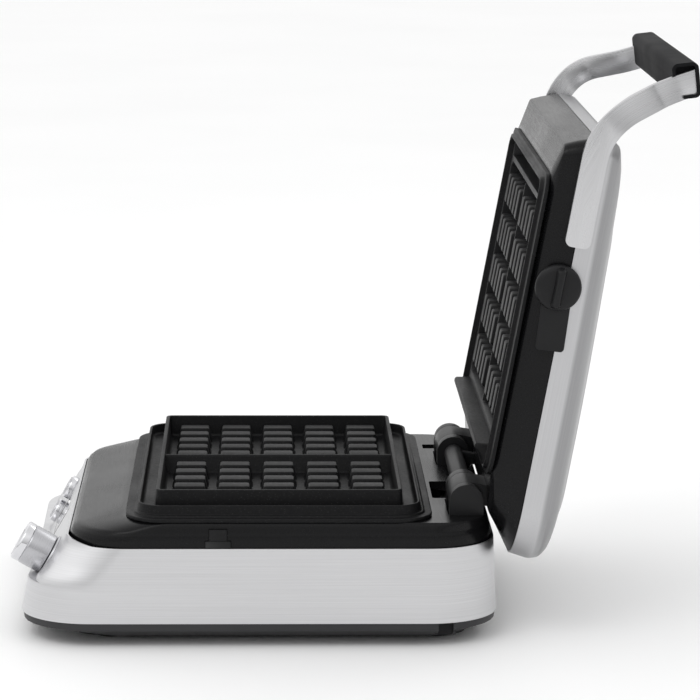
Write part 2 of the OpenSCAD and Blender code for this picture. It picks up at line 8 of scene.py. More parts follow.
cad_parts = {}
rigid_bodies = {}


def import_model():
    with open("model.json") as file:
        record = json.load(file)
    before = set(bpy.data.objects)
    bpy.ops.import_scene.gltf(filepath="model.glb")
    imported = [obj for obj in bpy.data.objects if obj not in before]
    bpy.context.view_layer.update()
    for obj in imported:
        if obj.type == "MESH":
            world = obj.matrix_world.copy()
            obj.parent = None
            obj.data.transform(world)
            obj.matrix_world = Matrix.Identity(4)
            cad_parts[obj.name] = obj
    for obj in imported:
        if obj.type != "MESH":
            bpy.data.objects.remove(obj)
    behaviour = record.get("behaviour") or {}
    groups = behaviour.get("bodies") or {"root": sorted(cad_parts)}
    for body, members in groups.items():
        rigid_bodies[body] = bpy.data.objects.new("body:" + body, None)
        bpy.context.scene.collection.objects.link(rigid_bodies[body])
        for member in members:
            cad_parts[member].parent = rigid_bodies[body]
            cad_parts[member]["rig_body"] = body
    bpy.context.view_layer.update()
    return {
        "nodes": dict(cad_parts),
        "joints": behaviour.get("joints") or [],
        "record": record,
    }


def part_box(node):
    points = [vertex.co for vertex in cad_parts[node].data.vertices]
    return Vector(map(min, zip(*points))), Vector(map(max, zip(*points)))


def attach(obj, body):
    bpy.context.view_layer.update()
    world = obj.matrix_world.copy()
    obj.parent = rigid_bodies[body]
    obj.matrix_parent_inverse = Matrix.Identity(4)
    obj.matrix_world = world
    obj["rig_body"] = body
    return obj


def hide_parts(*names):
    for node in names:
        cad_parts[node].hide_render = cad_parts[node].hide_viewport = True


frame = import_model()
NODES = frame["nodes"]
JOINTS = {j["name"]: j for j in frame["joints"]}
MM = 0.001

# ---------------------------------------------------------------- places taken from the CAD

HINGE = Vector(JOINTS["lid_hinge"]["pos_m"]) * 1000
OPEN = math.radians(JOINTS["lid_hinge"]["range_deg"][1])
PANEL_OUT = Vector(JOINTS["knob_turn"]["axis"]).normalized()
KNOB = Vector(JOINTS["knob_turn"]["pos_m"]) * 1000
BUTTONS = {
    "button_upper": Vector(JOINTS["upper_button_press"]["pos_m"]) * 1000,
    "button_lower": Vector(JOINTS["lower_button_press"]["pos_m"]) * 1000,
}
PANEL_UP = Vector((0, 0.5, 0.8660254))
PANEL_TOP = Vector((0, -153.3, 82))
LEDGE = 40.5
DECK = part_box("lower_plate")[1].z * 1000 - 21.6
HINGE_SHIFT = 46
DIAL = Vector((0, -22.9, 142.4))


def opened(p):
    """A point of the closed lid, in mm, moved to where the open lid holds it."""
    x, y, z = p[0], p[1] - HINGE.y, p[2] - HINGE.z
    c, s = math.cos(OPEN), math.sin(OPEN)
    return (x, HINGE.y + c * y + s * z, HINGE.z - s * y + c * z)


def panel(x, s, out):
    """A point on the control panel: x across, s up from its upper edge, out of its face."""
    return PANEL_TOP + Vector((x, 0, 0)) + PANEL_UP * s + PANEL_OUT * out


# ---------------------------------------------------------------- materials

def material(name, build):
    m = bpy.data.materials.new(name)
    m.use_nodes = True
    nt = m.node_tree
    nt.nodes.clear()
    out = nt.nodes.new("ShaderNodeOutputMaterial")
    bsdf = nt.nodes.new("ShaderNodeBsdfPrincipled")
    nt.links.new(bsdf.outputs[0], out.inputs[0])
    build(Nodes(nt, bsdf))
    return m


class Nodes:
    """Short names for the few nodes the materials are made of."""

    def __init__(self, tree, bsdf):
        self.tree, self.bsdf = tree, bsdf
        self.coord = self.new("ShaderNodeTexCoord")

    def new(self, kind, **props):
        n = self.tree.nodes.new(kind)
        for k, v in props.items():
            setattr(n, k, v)
        return n

    def link(self, a, b):
        self.tree.links.new(a, b)

    def place(self, scale, turn=None, source="Object"):
        where = self.coord.outputs[source]
        if turn:
            t = self.new("ShaderNodeMapping")
            t.inputs["Rotation"].default_value = turn
            self.link(where, t.inputs["Vector"])
            where = t.outputs[0]
        m = self.new("ShaderNodeMapping")
        m.inputs["Scale"].default_value = scale
        self.link(where, m.inputs["Vector"])
        return m.outputs[0]

    def noise(self, where, scale=1.0, detail=4.0, rough=0.55):
        n = self.new("ShaderNodeTexNoise")
        n.inputs["Scale"].default_value = scale
        n.inputs["Detail"].default_value = detail
        n.inputs["Roughness"].default_value = rough
        self.link(where, n.inputs["Vector"])
        return n.outputs["Fac"]

    def grains(self, where, scale):
        n = self.new("ShaderNodeTexVoronoi")
        n.inputs["Scale"].default_value = scale
        self.link(where, n.inputs["Vector"])
        return n.outputs["Distance"]

    def span(self, value, lo, hi, src=(0.3, 0.7)):
        n = self.new("ShaderNodeMapRange")
        n.inputs["From Min"].default_value, n.inputs["From Max"].default_value = src
        n.inputs["To Min"].default_value, n.inputs["To Max"].default_value = lo, hi
        self.link(value, n.inputs["Value"])
        return n.outputs[0]

    def ramp(self, value, stops):
        n = self.new("ShaderNodeValToRGB")
        e = n.color_ramp.elements
        e[0].position, e[0].color = stops[0][0], (*stops[0][1], 1)
        e[1].position, e[1].color = stops[-1][0], (*stops[-1][1], 1)
        for pos, col in stops[1:-1]:
            e.new(pos).color = (*col, 1)
        self.link(value, n.inputs[0])
        return n.outputs[0]

    def maths(self, op, a, b):
        n = self.new("ShaderNodeMath", operation=op)
        for i, v in enumerate((a, b)):
            if isinstance(v, (int, float)):
                n.inputs[i].default_value = v
            else:
                self.link(v, n.inputs[i])
        return n.outputs[0]

    def mix(self, *shares):
        """Sum of values, each by its share."""
        terms = [self.maths("MULTIPLY", value, share) for value, share in shares]
        total = terms.pop()
        while terms:
            total = self.maths("ADD", terms.pop(), total)
        return total

    def bump(self, height, strength, distance):
        n = self.new("ShaderNodeBump")
        n.inputs["Strength"].default_value = strength
        n.inputs["Distance"].default_value = distance
        self.link(height, n.inputs["Height"])
        self.link(n.outputs[0], self.bsdf.inputs["Normal"])

    def set(self, **values):
        names = {"metal": "Metallic", "rough": "Roughness", "coat": "Coat Weight",
                 "coat_rough": "Coat Roughness", "ior": "IOR", "aniso": "Anisotropic"}
        for k, v in values.items():
            self.bsdf.inputs[names[k]].default_value = v

    def colour(self, socket):
        self.link(socket, self.bsdf.inputs["Base Color"])

    def rough(self, socket):
        self.link(socket, self.bsdf.inputs["Roughness"])


def brushed(tint, scale, source="Object", rough=(0.26, 0.42), bump=0.25, turn=None, rear_shade=1.0):
    """Metal brushed along the axis with the smallest scale. The last argument paints shade: it darkens what faces
    the rear.
    """
    def build(n):
        lines = n.noise(n.place(scale, turn, source), 1.0, 5.0, 0.7)
        broad = n.noise(n.place(tuple(0.08 * v for v in scale), turn, source), 1.0, 3.0)
        smudge = n.noise(n.place((9, 9, 9)), 1.0, 3.0)
        n.set(metal=1.0, aniso=0.4)
        lo = tuple(0.86 * v for v in tint)
        hi = tuple(min(1.0, 1.06 * v) for v in tint)
        colour = n.ramp(lines, [(0.25, lo), (0.75, hi)])
        # Painted shade: the colour is scaled down on faces that turn towards the rear, to the given share where
        # they face it fully.
        if rear_shade < 1:
            split = n.new("ShaderNodeSeparateXYZ")
            n.link(n.coord.outputs["Normal"], split.inputs[0])
            shaded = n.new("ShaderNodeVectorMath", operation="SCALE")
            n.link(colour, shaded.inputs[0])
            n.link(n.span(split.outputs["Y"], 1.0, rear_shade, (0.12, 0.45)), shaded.inputs["Scale"])
            colour = shaded.outputs[0]
        n.colour(colour)
        n.rough(n.span(n.mix((lines, 0.55), (broad, 0.25), (smudge, 0.2)), *rough))
        n.bump(lines, bump, 0.00012)
    return build


def plastic(lo, hi, rough, grain, bump, ior=1.3):
    """Moulded plastic with a fine grain and a slow change of gloss."""
    def build(n):
        fine = n.grains(n.place((1, 1, 1)), grain)
        slow = n.noise(n.place((14, 14, 14)), 1.0, 4.0)
        n.set(ior=ior)
        n.colour(n.ramp(slow, [(0.3, lo), (0.7, hi)]))
        n.rough(n.span(slow, rough[0], rough[1]))
        n.bump(fine, bump, 0.00015)
    return build


def gloss_black(n):
    """Black gloss plastic with fine dust and faint hairline scratches."""
    slow = n.noise(n.place((11, 11, 11)), 1.0, 4.0)
    dust = n.noise(n.place((900, 900, 900)), 1.0, 2.0)
    hair = n.noise(n.place((40, 700, 700)), 1.0, 3.0)
    n.set(ior=1.26)
    n.colour(n.ramp(dust, [(0.3, (0.004, 0.004, 0.0045)), (0.72, (0.007, 0.007, 0.0075)),
                           (0.8, (0.013, 0.013, 0.013))]))
    n.rough(n.span(n.mix((slow, 0.6), (hair, 0.4)), 0.18, 0.3))
    n.bump(dust, 0.02, 0.0001)


def nonstick(n):
    """Satin coat over cast metal: an orange-peel surface with small lighter specks."""
    peel = n.noise(n.place((420, 420, 420)), 1.0, 3.0)
    speck = n.grains(n.place((1, 1, 1)), 560)
    slow = n.noise(n.place((16, 16, 16)), 1.0, 4.0)
    n.set(ior=1.22)
    n.colour(n.ramp(speck, [(0.05, (0.05, 0.05, 0.05)), (0.16, (0.009, 0.009, 0.0095)),
                            (1.0, (0.0055, 0.0055, 0.006))]))
    n.rough(n.span(n.mix((peel, 0.5), (slow, 0.5)), 0.38, 0.56))
    n.bump(peel, 0.35, 0.0002)


def turned(tint, rough=(0.2, 0.34)):
    """Satin metal turned on a lathe: fine rings, seen as lines round the axis."""
    def build(n):
        rings = n.noise(n.place((1, 260, 1), source="UV"), 1.0, 4.0, 0.7)
        slow = n.noise(n.place((60, 60, 60)), 1.0, 3.0)
        n.set(metal=1.0, aniso=0.4)
        n.colour(n.ramp(rings, [(0.3, tuple(0.88 * v for v in tint)), (0.7, tint)]))
        n.rough(n.span(n.mix((rings, 0.7), (slow, 0.3)), *rough))
        n.bump(rings, 0.15, 0.00006)
    return build


def plain_metal(tint, rough, cell=240):
    """Rolled, plated or heat-stained metal with blotches and a light grain."""
    def build(n):
        blot = n.noise(n.place((45, 45, 45)), 1.0, 5.0)
        fine = n.noise(n.place((cell, cell, cell)), 1.0, 3.0)
        n.set(metal=1.0)
        n.colour(n.ramp(blot, [(0.3, tuple(0.75 * v for v in tint)), (0.7, tint)]))
        n.rough(n.span(n.mix((blot, 0.5), (fine, 0.5)), *rough))
        n.bump(fine, 0.12, 0.0001)
    return build


def board(n):
    """Lacquered circuit board with copper tracks under the green."""
    tracks = n.new("ShaderNodeTexBrick")
    tracks.inputs["Scale"].default_value = 90
    tracks.inputs["Color1"].default_value = (0.015, 0.10, 0.045, 1)
    tracks.inputs["Color2"].default_value = (0.02, 0.13, 0.06, 1)
    tracks.inputs["Mortar"].default_value = (0.05, 0.19, 0.09, 1)
    n.link(n.place((1, 1, 1)), tracks.inputs["Vector"])
    slow = n.noise(n.place((50, 50, 50)), 1.0, 3.0)
    n.colour(tracks.outputs["Color"])
    n.rough(n.span(slow, 0.3, 0.5))
    n.bump(tracks.outputs["Fac"], 0.2, 0.0001)


def window_glass(n):
    """Smoked window with a clear coat and a faint grain of display dots."""
    slow = n.noise(n.place((30, 30, 30)), 1.0, 3.0)
    dots = n.noise(n.place((1200, 1200, 1200)), 1.0, 2.0)
    n.set(coat=0.8, coat_rough=0.03)
    n.colour(n.ramp(dots, [(0.3, (0.006, 0.006, 0.008)), (0.8, (0.011, 0.012, 0.016))]))
    n.rough(n.span(slow, 0.07, 0.14))
    n.bump(slow, 0.02, 0.0001)


def grey(value, blue=0.0):
    """A grey, with a little more blue if asked."""
    return (value, value, value + blue)


TRAY = plastic(grey(0.034, 0.002), grey(0.044, 0.002), (0.4, 0.54), 1400, 0.25)
DARK = plastic(grey(0.007, 0.0005), grey(0.012, 0.001), (0.32, 0.46), 1600, 0.2)
GRIP = plastic(grey(0.006, 0.0005), grey(0.010, 0.001), (0.55, 0.7), 1500, 0.25, 1.18)
RUBBER = plastic(grey(0.014), grey(0.024), (0.6, 0.78), 2000, 0.35)
CERAMIC = plastic((0.62, 0.59, 0.52), (0.72, 0.69, 0.62), (0.5, 0.7), 900, 0.3)
BAND = brushed(grey(0.66, 0.01), (7, 7, 2200), bump=0.18)
# The lid's steel gets painted shade on its rear-facing surfaces: its colour falls to 0.62 there.
LID = brushed(grey(0.54, 0.01), (2200, 7, 2200), bump=0.18, turn=(OPEN, 0, 0), rear_shade=0.62)
ARMS = brushed(grey(0.60, 0.01), (5, 1900, 1), "UV", (0.22, 0.34), 0.2)

MATERIALS = {
    "steel": material("band_steel", BAND),
    "gloss_black": material("gloss_black", gloss_black),
    "tray_plastic": material("tray_plastic", TRAY),
    "nonstick": material("nonstick", nonstick),
    "dark_plastic": material("dark_plastic", DARK),
    "aluminium": material("arm_aluminium", ARMS),
    "knob_metal": material("knob_metal", turned(grey(0.52, 0.02))),
    "chrome": material("chrome_ring", turned(grey(0.74, 0.02), (0.05, 0.12))),
    "glass_black": material("window_black", window_glass),
    "rubber": material("rubber", RUBBER),
    "sheet_metal": material("sheet_metal", plain_metal(grey(0.66, 0.01), (0.3, 0.5))),
    "heater_sheath": material("heater_sheath", plain_metal((0.30, 0.25, 0.21), (0.4, 0.6))),
    "brass": material("brass", plain_metal((0.78, 0.55, 0.24), (0.25, 0.4))),
    "screw_steel": material("screw_steel", plain_metal(grey(0.52, 0.02), (0.22, 0.4), cell=700)),
    "board": material("circuit_board", board),
    "ceramic": material("ceramic", CERAMIC),
}
GRIP_PLASTIC = material("grip_plastic", GRIP)
LID_STEEL = material("lid_steel", LID)

SLOT = {p["node"]: p["material_slot"] for p in frame["record"]["subparts"]}
for name, obj in NODES.items():
    obj.data.materials.clear()
    obj.data.materials.append(MATERIALS[SLOT[name]])

# ---------------------------------------------------------------- mesh tools

LATHE_STEPS = 72
BOX_FACES = [(3, 2, 1, 0), (4, 5, 6, 7), (0, 1, 5, 4), (1, 2, 6, 5), (2, 3, 7, 6), (3, 0, 4, 7)]


def smooth(obj, angle=32):
    """Rounded surfaces shade smoothly and edges sharper than the angle stay crisp."""
    me = obj.data
    me.polygons.foreach_set("use_smooth", [True] * len(me.polygons))
    bm = bmesh.new()
    bm.from_mesh(me)
    limit = math.radians(angle)
    for e in bm.edges:
        if len(e.link_faces) == 2 and e.calc_face_angle(0) > limit:
            e.smooth = False
    bm.to_mesh(me)
    bm.free()


def piece(name, verts, faces, body, slot_name, replaced, uvs=None, angle=32, to_open=False):
    """One visible piece made from points in mm, in the place of the CAD nodes it replaces."""
    if to_open:
        verts = [opened(v) for v in verts]
    me = bpy.data.meshes.new(name)
    me.from_pydata([Vector(v) * MM for v in verts], [], faces)
    me.validate()
    if uvs:
        layer = me.uv_layers.new(name="UVMap")
        for loop in me.loops:
            layer.data[loop.index].uv = uvs[loop.vertex_index]
    obj = bpy.data.objects.new(name, me)
    bpy.context.scene.collection.objects.link(obj)
    bm = bmesh.new()
    bm.from_mesh(me)
    bmesh.ops.remove_doubles(bm, verts=bm.verts, dist=1e-6)
    bmesh.ops.recalc_face_normals(bm, faces=bm.faces)
    bm.to_mesh(me)
    bm.free()
    smooth(obj, angle)
    me.materials.append(LID_STEEL if to_open and slot_name == "steel" else MATERIALS[slot_name])
    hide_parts(*replaced)
    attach(obj, body)
    return obj


def round_edges(bm, width, steps=2, angle=28):
    edges = [e for e in bm.edges if len(e.link_faces) == 2 and e.calc_face_angle(0) > math.radians(angle)]
    bmesh.ops.bevel(bm, geom=edges, offset=width * MM, segments=steps, profile=0.6,
                    affect="EDGES", clamp_overlap=True)


def refined(node, width=0.5, steps=2, angle=28, look=None):
    """A CAD node's shape with its edges rounded off, as a piece that stands for it."""
    src = NODES[node]
    me = bpy.data.meshes.new(node + "_fine")
    bm = bmesh.new()
    bm.from_mesh(src.data)
    bmesh.ops.remove_doubles(bm, verts=bm.verts, dist=2e-6)
    bmesh.ops.dissolve_limit(bm, angle_limit=math.radians(1.0), verts=bm.verts, edges=bm.edges)
    round_edges(bm, width, steps, angle)
    bm.to_mesh(me)
    bm.free()
    obj = bpy.data.objects.new(node + "_fine", me)
    bpy.context.scene.collection.objects.link(obj)
    smooth(obj, 34)
    me.materials.append(look or MATERIALS[SLOT[node]])
    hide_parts(node)
    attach(obj, src["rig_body"])
    return obj


def plan(half_x, y0, y1, rear_r, front_r, straight=14, arc=16):
    """Points round a rounded rectangle, the same count and order for every size."""
    pts = []

    def line(a, b):
        for i in range(straight):
            t = i / straight
            pts.append((a[0] + (b[0] - a[0]) * t, a[1] + (b[1] - a[1]) * t))

    def turn(cx, cy, r, start):
        for i in range(arc):
            a = math.radians(start + 90 * i / arc)
            pts.append((cx + r * math.cos(a), cy + r * math.sin(a)))

    line((half_x, y0 + front_r), (half_x, y1 - rear_r))
    turn(half_x - rear_r, y1 - rear_r, rear_r, 0)
    line((half_x - rear_r, y1), (-half_x + rear_r, y1))
    turn(-half_x + rear_r, y1 - rear_r, rear_r, 90)
    line((-half_x, y1 - rear_r), (-half_x, y0 + front_r))
    turn(-half_x + front_r, y0 + front_r, front_r, 180)
    line((-half_x + front_r, y0), (half_x - front_r, y0))
    turn(half_x - front_r, y0 + front_r, front_r, 270)
    return pts


def between(sections, z):
    """The section (half_x, y0, y1, rear r, z, front r) at height z."""
    for a, b in zip(sections, sections[1:]):
        if a[4] <= z <= b[4]:
            t = (z - a[4]) / (b[4] - a[4])
            return [a[i] + (b[i] - a[i]) * t for i in range(6)]
    return sections[-1] if z > sections[-1][4] else sections[0]


def rows_to_mesh(rows, cap_first=True, cap_last=True):
    """Rings of equal length joined into a closed skin."""
    n = len(rows[0])
    verts = [p for row in rows for p in row]
    faces = []
    for i in range(len(rows) - 1):
        for j in range(n):
            k = (j + 1) % n
            faces.append((i * n + j, i * n + k, (i + 1) * n + k, (i + 1) * n + j))
    if cap_first:
        faces.append(tuple(reversed(range(n))))
    if cap_last:
        faces.append(tuple((len(rows) - 1) * n + j for j in range(n)))
    return verts, faces


def ring_mesh(rows):
    """Rings of equal length joined into a skin whose last ring meets its first."""
    verts, faces = rows_to_mesh(rows, False, False)
    return verts, faces + last_to_first(len(rows), len(rows[0]))


def last_to_first(count, n):
    """Faces between the last and the first of count rings of n points."""
    last = (count - 1) * n
    return [(last + j, last + (j + 1) % n, (j + 1) % n, j) for j in range(n)]


def lathe(profile, origin, axis, up, segments=LATHE_STEPS):
    """A profile of (radius, height) turned about an axis, closed at both ends, with its UVs."""
    axis = Vector(axis).normalized()
    side = Vector(up).cross(axis).normalized()
    up = axis.cross(side)
    verts, uvs, faces = [], [], []
    run = 0.0
    for i, (r, h) in enumerate(profile):
        if i:
            run += math.dist(profile[i - 1], profile[i]) * MM * 10
        for k in range(segments):
            a = 2 * math.pi * k / segments
            verts.append(origin + axis * h + (side * math.cos(a) + up * math.sin(a)) * r)
            uvs.append((k / segments, run))
    for i in range(len(profile) - 1):
        for k in range(segments):
            m = (k + 1) % segments
            faces.append((i * segments + k, i * segments + m, (i + 1) * segments + m, (i + 1) * segments + k))
    for row in (0, len(profile) - 1):
        if profile[row][0] > 0.02:
            faces.append(tuple(row * segments + k for k in range(segments)))
    return verts, faces, uvs


def lathe_ring(profile, origin, axis, up):
    """A profile whose ends meet, turned about an axis into a closed ring."""
    verts, faces, uvs = lathe(profile, origin, axis, up)
    sides = [face for face in faces if len(face) == 4]
    return verts, sides + last_to_first(len(profile), LATHE_STEPS), uvs


def pin(r, reach, at, axis, up, segments):
    """A round cutter that reaches as far to both sides of its place."""
    verts, faces, _ = lathe([(r, -reach), (r, reach)], at, axis, up, segments)
    return verts, faces


def fillet(profile, r, steps=5):
    """Rounds the inner corners of an open profile."""
    out = [profile[0]]
    for a, b, c in zip(profile, profile[1:], profile[2:]):
        va, vc = Vector((a[0] - b[0], a[1] - b[1])), Vector((c[0] - b[0], c[1] - b[1]))
        cut = min(r, va.length * 0.45, vc.length * 0.45)
        if cut < 0.02:
            out.append(b)
            continue
        p0, p1 = Vector(b) + va.normalized() * cut, Vector(b) + vc.normalized() * cut
        for i in range(steps + 1):
            t = i / steps
            q = p0 * (1 - t) ** 2 + Vector(b) * (2 * t * (1 - t)) + p1 * t ** 2
            out.append((q.x, q.y))
    out.append(profile[-1])
    return out


def cut(obj, cutters):
    """Takes boxes or prisms, given as (verts, faces) in mm, out of a piece."""
    for i, (verts, faces) in enumerate(cutters):
        me = bpy.data.meshes.new("cutter")
        me.from_pydata([Vector(v) * MM for v in verts], [], faces)
        tool = bpy.data.objects.new("cutter", me)
        bm = bmesh.new()
        bm.from_mesh(me)
        bmesh.ops.recalc_face_normals(bm, faces=bm.faces)
        bm.to_mesh(me)
        bm.free()
        bpy.context.scene.collection.objects.link(tool)
        mod = obj.modifiers.new("cut", "BOOLEAN")
        mod.object, mod.operation, mod.solver = tool, "DIFFERENCE", "EXACT"
        bpy.context.view_layer.update()
        done = bpy.data.meshes.new_from_object(obj.evaluated_get(bpy.context.evaluated_depsgraph_get()))
        obj.modifiers.clear()
        old, obj.data = obj.data, done
        bpy.data.meshes.remove(old)
        bpy.data.objects.remove(tool)
    smooth(obj)


def box_mesh(a, b, r=0.0, steps=5):
    """A box between two corners; r rounds its upright edges."""
    if r:
        pts = plan((b[0] - a[0]) / 2, a[1], b[1], r, r, 1, steps)
        cx = (a[0] + b[0]) / 2
        rows = [[(p[0] + cx, p[1], z) for p in pts] for z in (a[2], b[2])]
        return rows_to_mesh(rows)
    corners = ((a[0], a[1]), (b[0], a[1]), (b[0], b[1]), (a[0], b[1]))
    return [(x, y, z) for z in (a[2], b[2]) for x, y in corners], BOX_FACES


def joined(parts):
    verts, faces = [], []
    for v, f in parts:
        base = len(verts)
        verts += list(v)
        faces += [tuple(i + base for i in face) for face in f]
    return verts, faces


# ---------------------------------------------------------------- base

BASE = [
    (186, -190, 190, 56, 19, 56),
    (185.1, -187.4, 189.2, 55.2, 30, 55.2),
    (184, -182.7, 188.2, 54, 48, 54),
    (182, -153.3, 186.6, 52, 82.02, 52),
]
RUN = 1 / math.sqrt(3)
BAND_TOP = 78.5
SHEET = 1.4
BAND_STEPS = 26
LEDGE_RISE, LEDGE_BLEND = 6, 22


def soft_max(a, b, k):
    if abs(a - b) > k:
        return max(a, b)
    return max(a, b) + (k - abs(a - b)) ** 2 / (4 * k)


def panel_y(z):
    return PANEL_TOP.y - (PANEL_TOP.z - z) * RUN


def ease(t):
    t = min(1.0, max(0.0, t))
    return t * t * (3 - 2 * t)


def band_rings(inset):
    """Rings of the band from its lower edge up, with the sloping panel formed into its front."""
    rings = []

    def recessed(x, y, z):
        """A point behind the panel's plane, with a softer fold towards the corners."""
        if y >= 0:
            return (x, y, z)
        fold = 1.0 + 7 * ease((abs(x) - 105) / 50)
        return (x, soft_max(y, panel_y(z) + inset * 2 * RUN, fold), z)

    def ring(z, recess):
        half, y0, y1, r1, _, r0 = between(BASE, z)
        pts = plan(half - inset, y0 + inset, y1 - inset, r1 - inset, r0 - inset, BAND_STEPS, BAND_STEPS)
        return [recessed(x, y, z) if recess else (x, y, z) for x, y in pts]

    def lifted(x, y, z):
        """Carries the ledge up at the ends of the front, as a shallow smile."""
        near = max(0.0, 1 - abs(z - LEDGE) / LEDGE_BLEND)
        front = ease((-y - 100) / 50)
        return (x, y, z + LEDGE_RISE * ease((abs(x) - 60) / 90) * near * front)

    ledge = LEDGE - inset
    for z in (19, 19.6, 22, 26, 30, 34, 37, 39, ledge - 0.5):
        rings.append(ring(z, False))
    soft, deep = ring(ledge, False), ring(ledge, True)
    for t in (0.05, 0.12, 0.3, 0.6, 0.88, 0.96):
        rings.append([(a[0], a[1] + (b[1] - a[1]) * t, ledge) for a, b in zip(soft, deep)])
    for z in (ledge + 0.5, ledge + 1.5, 45, 50, 55, 60, 65, 70, 74, 77.5):
        rings.append(ring(z, True))
    rings = [[lifted(*p) for p in row] for row in rings]
    rings.append(lift_front(ring(BAND_TOP, True), inset))
    return rings


def lift_front(top, inset):
    """The upper edge rises from the sides to the top of the panel."""
    out = []
    for x, y, z in top:
        rise = min(1.0, max(0.0, (-132 - y) / 20.0))
        z2 = BAND_TOP + 3.5 * rise
        y2 = panel_y(z2) + inset * 2 * RUN if rise > 0.99 else y
        out.append((x, max(y, y2) if y < 0 else y, z2))
    return out


def build_band():
    """The brushed steel band, cut for the drip tray, the cord gland and what sits in the panel."""
    rows = band_rings(0.0) + band_rings(SHEET)[::-1]
    obj = piece("steel_band", *ring_mesh(rows), "base", "steel", ["base_steel_band"], angle=38)
    drawer = box_mesh((-97, 170, 25), (97, 200, 58.5))
    cutters = [drawer, pin(8, 30, Vector((-115, 189, 44)), (0, 1, 0), (0, 0, 1), 40)]
    for at, r in ((KNOB, 5.3), (BUTTONS["button_upper"], 9.4), (BUTTONS["button_lower"], 9.4)):
        cutters.append(pin(r, 9, at, PANEL_OUT, (1, 0, 0), 48))
    window = [panel(x, s, o) for o in (-6, 6) for x, s in ((-50, -38), (14, -38), (14, -10), (-50, -10))]
    cutters.append((window, BOX_FACES))
    cut(obj, cutters)


SHELL_STEPS = 20
WALL = 2.5
HOUSING = [
    (179.8, -150.8, 184.6, 50, 72, 50),
    (179.7, -150.6, 184.4, 50, 83.5, 50),
    (179.3, -148.4, 183.9, 49.6, 87.5, 49.4),
    (178.4, -144.6, 183.0, 49, 90.4, 48),
    (177.7, -131, 182.2, 46, 93.4, 45),
    (176.9, -118, 181.5, 43, 96.2, 42),
    (175.6, -109, 180.8, 40, DECK, 39),
]


def front_rise(x, y, z):
    """The front slope runs on a little above the deck."""
    across = min(1.0, max(0.0, (150 - abs(x)) / 30))
    along = min(1.0, max(0.0, (-106.5 - y) / 3)) * min(1.0, max(0.0, (y + 147) / 36))
    return (x, y, z + 1.6 * across * across * (3 - 2 * across) * along)


def build_housing():
    """The black top of the base: its outer skin, the well for the plate and the inner skin."""
    def ring(z, half, y0, y1, rear_r, front_r):
        return [(x, y, z) for x, y in plan(half, y0, y1, rear_r, front_r, SHELL_STEPS, SHELL_STEPS)]

    rows = []
    for z in (72, 76, 80, 83.5, 85, 86.2, 87.5, 88.6, 89.6, 90.4, 91.4, 92.6, 93.8, 95, 96.2, 97, 97.6, DECK):
        half, y0, y1, r1, _, r0 = between(HOUSING, z)
        rows.append([front_rise(*p) for p in ring(z, half, y0, y1, r1, r0)])
    rows.append(ring(DECK, 172, -106.4, 150, 30, 30))
    rows.append(ring(DECK, 168, -98, 130, 12.5, 12.5))
    rows += [ring(z, 167, -97, 129, 12, 12) for z in (DECK - 1, 84)]
    rows += [ring(z, 167 + WALL, -97 - WALL, 129 + WALL, 13, 13) for z in (84, 93)]
    half, y0, y1, r1, _, r0 = between(HOUSING, 83.5)
    rows.append(ring(86, half - WALL, y0 + WALL, y1 - WALL, r1 - WALL, r0 - WALL))
    half, y0, y1, r1, _, r0 = HOUSING[0]
    rows.append(ring(72, half - WALL, y0 + WALL, y1 - WALL, r1 - WALL, r0 - WALL))
    obj = piece("top_housing", *ring_mesh(rows), "base", "gloss_black", ["base_top_housing"], angle=40)
    cutters = []
    for x0, x1 in ((87.6, 149.4), (HINGE_SHIFT - 149.4, HINGE_SHIFT - 87.6)):
        cutters.append(box_mesh((x0, 149.6, 78), (x1, 178.4, 110), 4))
    cutters.append(box_mesh((22, 140, 78), (86, 158, 110), 2.5))
    cutters.append(box_mesh((-130, 141.5, 78), (-113, 157, 110), 1.2))
    cutters.append(box_mesh((-155, 157.2, 97.3), (155, 158.2, 110)))
    cutters.append(box_mesh((160, -39.8, 84), (190, -25.2, 93.7)))
    cutters.append(box_mesh((165, -42.8, 79.7), (190, -22.2, 84.6)))
    cut(obj, cutters)


def stud(x0, x1, y0, y1, z0, z1, taper=2.1, r=2.2):
    """A waffle stud with leaning sides and a rounded top. z1 may lie below z0."""
    h = z1 - z0
    rows = []
    levels = ((0, -0.9, r + 0.8), (0.05, -0.25, r + 0.3), (0.14, 0.1, r), (0.9, taper * 0.9, r),
              (0.95, taper * 0.96 + 0.08, r), (0.985, taper + 0.35, r), (1, taper + 0.9, r * 0.8))
    for t, inset, corner in levels:
        pts = plan((x1 - x0) / 2 - inset, y0 + inset, y1 - inset, corner, corner, 1, 4)
        rows.append([(x + (x0 + x1) / 2, y, z0 + h * t) for x, y in pts])
    return rows_to_mesh(rows, False, True)


def stud_field(x_edge, x_mid, y0, y1, z0, z1, groove=7.5, count=5):
    """Studs in rows and columns on both beds, between the divider and the plate's edges."""
    parts = []
    px, py = (x_edge - x_mid - groove) / count, (y1 - y0 - groove) / count
    for side in (-1, 1):
        for i in range(count):
            for j in range(count):
                x0 = x_mid + groove + i * px
                ya = y0 + groove + j * py
                a, b = sorted((side * x0, side * (x0 + px - groove)))
                parts.append(stud(a, b, ya, ya + py - groove, z0, z1))
    return parts


def grown_rings(half, y0, y1, r, moves, steps=10):
    """Rings made by growing a base plan: moves are (grow, z)."""
    return [[(x, y, z) for x, y in plan(half + g, y0 - g, y1 + g, max(r + g, 0.8), max(r + g, 0.8), steps, steps)]
            for g, z in moves]


